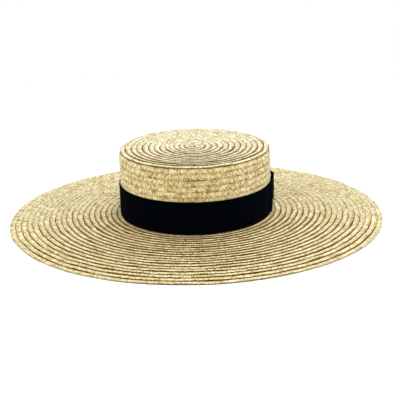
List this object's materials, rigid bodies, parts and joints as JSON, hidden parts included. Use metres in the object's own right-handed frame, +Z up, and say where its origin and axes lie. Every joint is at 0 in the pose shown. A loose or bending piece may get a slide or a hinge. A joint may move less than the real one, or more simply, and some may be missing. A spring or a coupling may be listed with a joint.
{
  "type": "cordobes hat",
  "caption": "Wide straw hat of the cordobes shape: low flat-topped oval crown and broad, nearly flat brim in sewn plait rows, with a plain dark ribbon band and a flat side bow.",
  "frame": {"origin": "middle of the rim's underside, the plane that the hat rests on", "axes": "+Z up through the crown, -Y to the wearer's front, +X to the side with the bow"},
  "size_m": [0.4348, 0.4548, 0.0829],
  "materials": {
    "straw": "natural sewn wheat-straw plait, satin",
    "ribbon": "black grosgrain, matte"
  },
  "bodies": {
    "root": {"crown": "straw", "brim": "straw", "hat_band": "ribbon", "bow_loops": "ribbon", "bow_wrap": "ribbon"}
  },
  "joints": []
}
